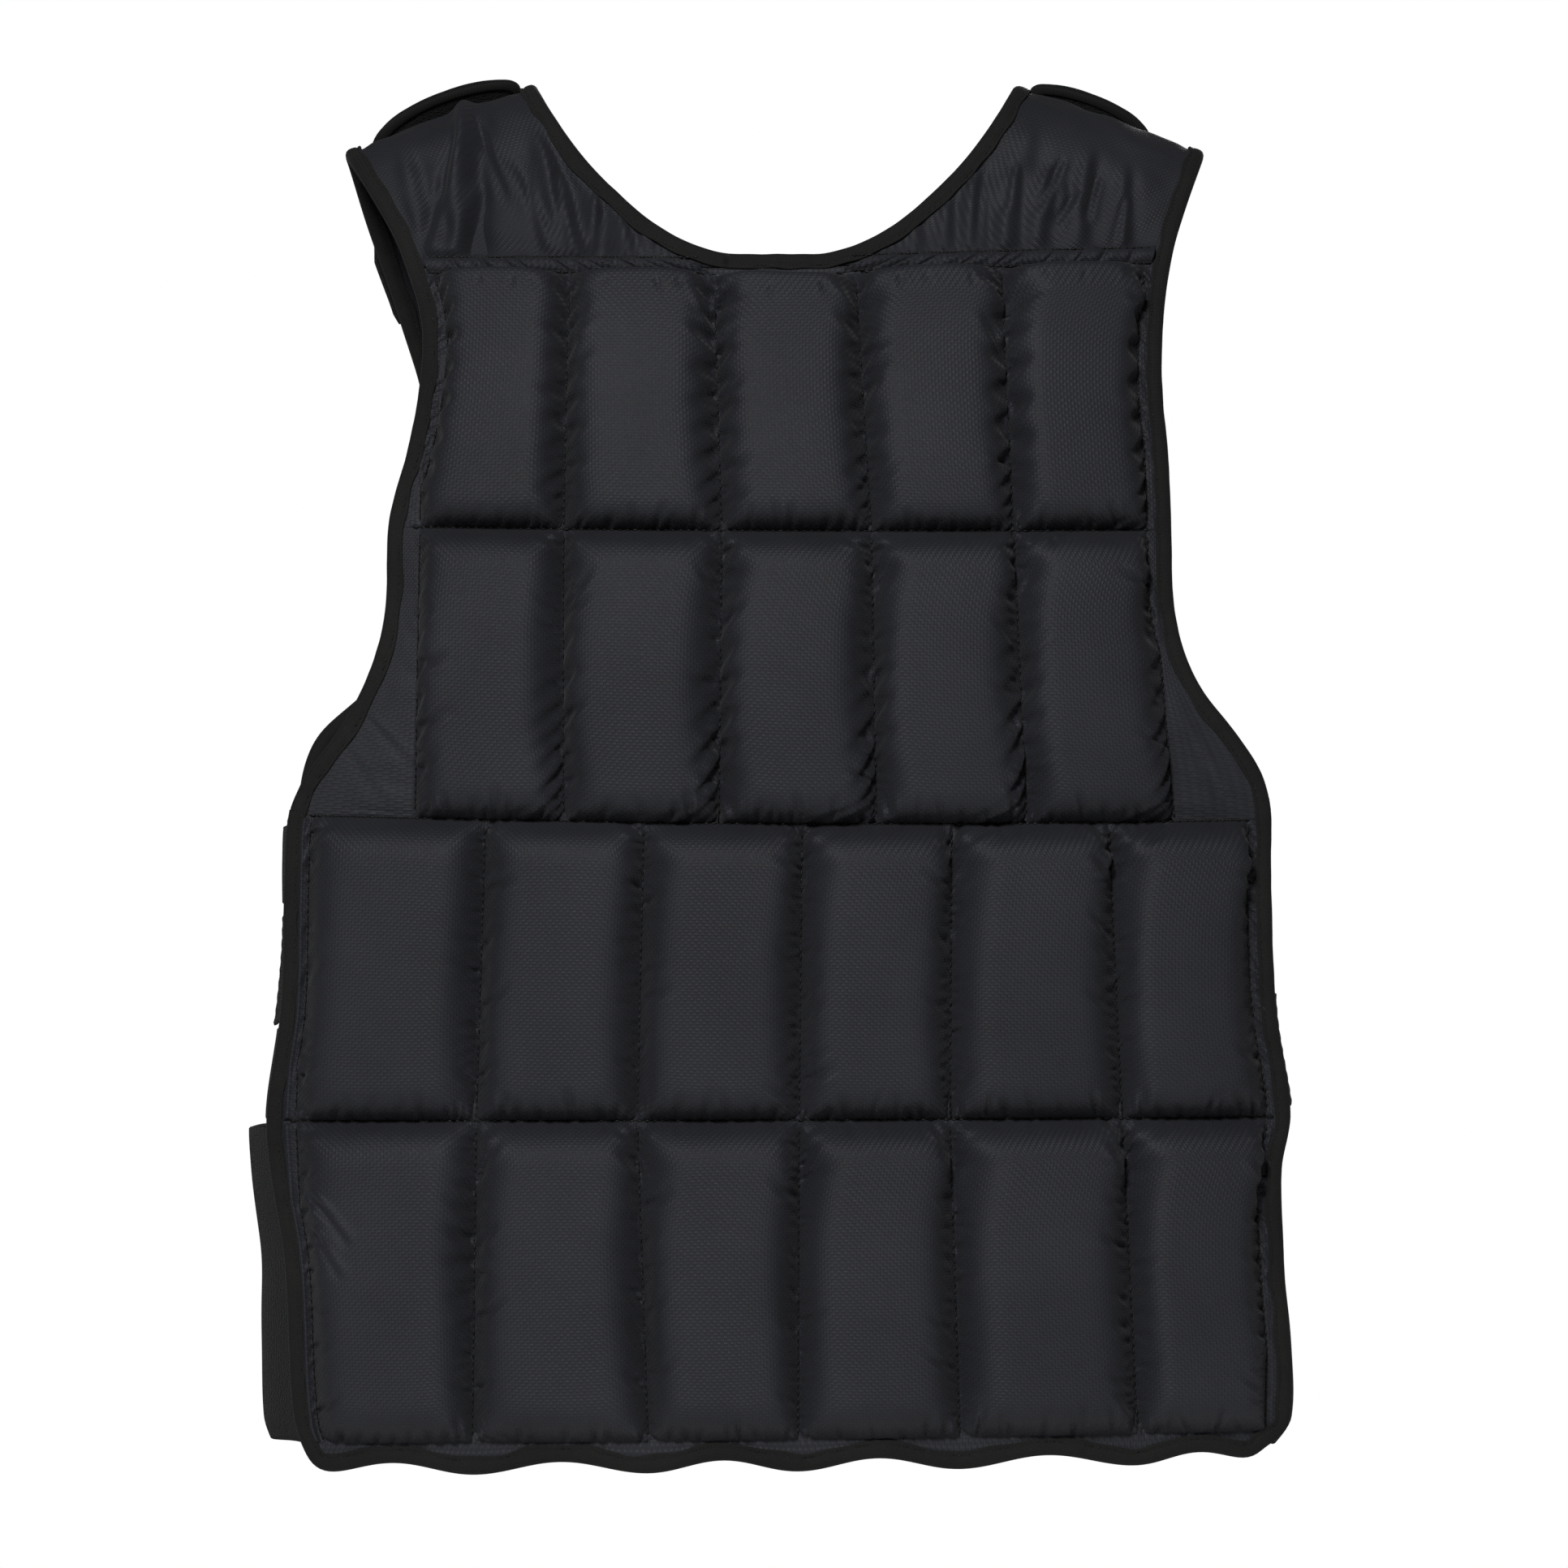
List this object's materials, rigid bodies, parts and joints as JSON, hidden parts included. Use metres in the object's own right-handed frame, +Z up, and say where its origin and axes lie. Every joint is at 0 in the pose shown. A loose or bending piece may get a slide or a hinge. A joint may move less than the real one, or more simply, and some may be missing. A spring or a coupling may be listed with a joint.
{
  "type": "weighted vest",
  "caption": "Pull-over weighted training vest: quilted rows of filled pockets on a back and a front panel, bound edges, padded shoulder straps, hook-and-loop flanks.",
  "frame": {"origin": "where the vest rests on the shoulders: the middle of the shoulder line, on the inner face of the straps", "axes": "+Z up along the worn vest, +Y out of the chest, -Y out of the back, +X to the wearer's right as seen from behind"},
  "size_m": [0.4412, 0.2083, 0.5892],
  "materials": {
    "shell": "black woven oxford nylon, matte with a faint sheen",
    "lining": "black plain-weave lining, matte",
    "binding": "black folded edge tape, matte",
    "fastener": "black hook-and-loop cloth, matte"
  },
  "bodies": {
    "root": {"armhole_binding_left": "binding", "armhole_binding_right": "binding", "back_band_left": "shell", "back_band_right": "shell", "back_edge_binding": "binding", "back_panel": "lining", "back_pocket_r1_c1": "shell", "back_pocket_r1_c2": "shell", "back_pocket_r1_c3": "shell", "back_pocket_r1_c4": "shell", "back_pocket_r1_c5": "shell", "back_pocket_r2_c1": "shell", "back_pocket_r2_c2": "shell", "back_pocket_r2_c3": "shell", "back_pocket_r2_c4": "shell", "back_pocket_r2_c5": "shell", "back_pocket_r3_c1": "shell", "back_pocket_r3_c2": "shell", "back_pocket_r3_c3": "shell", "back_pocket_r3_c4": "shell", "back_pocket_r3_c5": "shell", "back_pocket_r3_c6": "shell", "back_pocket_r4_c1": "shell", "back_pocket_r4_c2": "shell", "back_pocket_r4_c3": "shell", "back_pocket_r4_c4": "shell", "back_pocket_r4_c5": "shell", "back_pocket_r4_c6": "shell", "front_band_left": "shell", "front_band_right": "shell", "front_edge_binding": "binding", "front_panel": "lining", "front_pocket_row_1": "shell", "front_pocket_row_2": "shell", "front_pocket_row_3": "shell", "front_pocket_row_4": "shell", "neck_binding": "binding", "shoulder_strap_left": "shell", "shoulder_strap_right": "shell", "shoulder_tab_left": "fastener", "shoulder_tab_right": "fastener", "side_tab_left_lower": "fastener", "side_tab_left_middle": "fastener", "side_tab_left_upper": "fastener", "side_tab_right_lower": "fastener", "side_tab_right_upper": "fastener", "waist_flap_left": "fastener", "waist_flap_right": "fastener"}
  },
  "joints": []
}
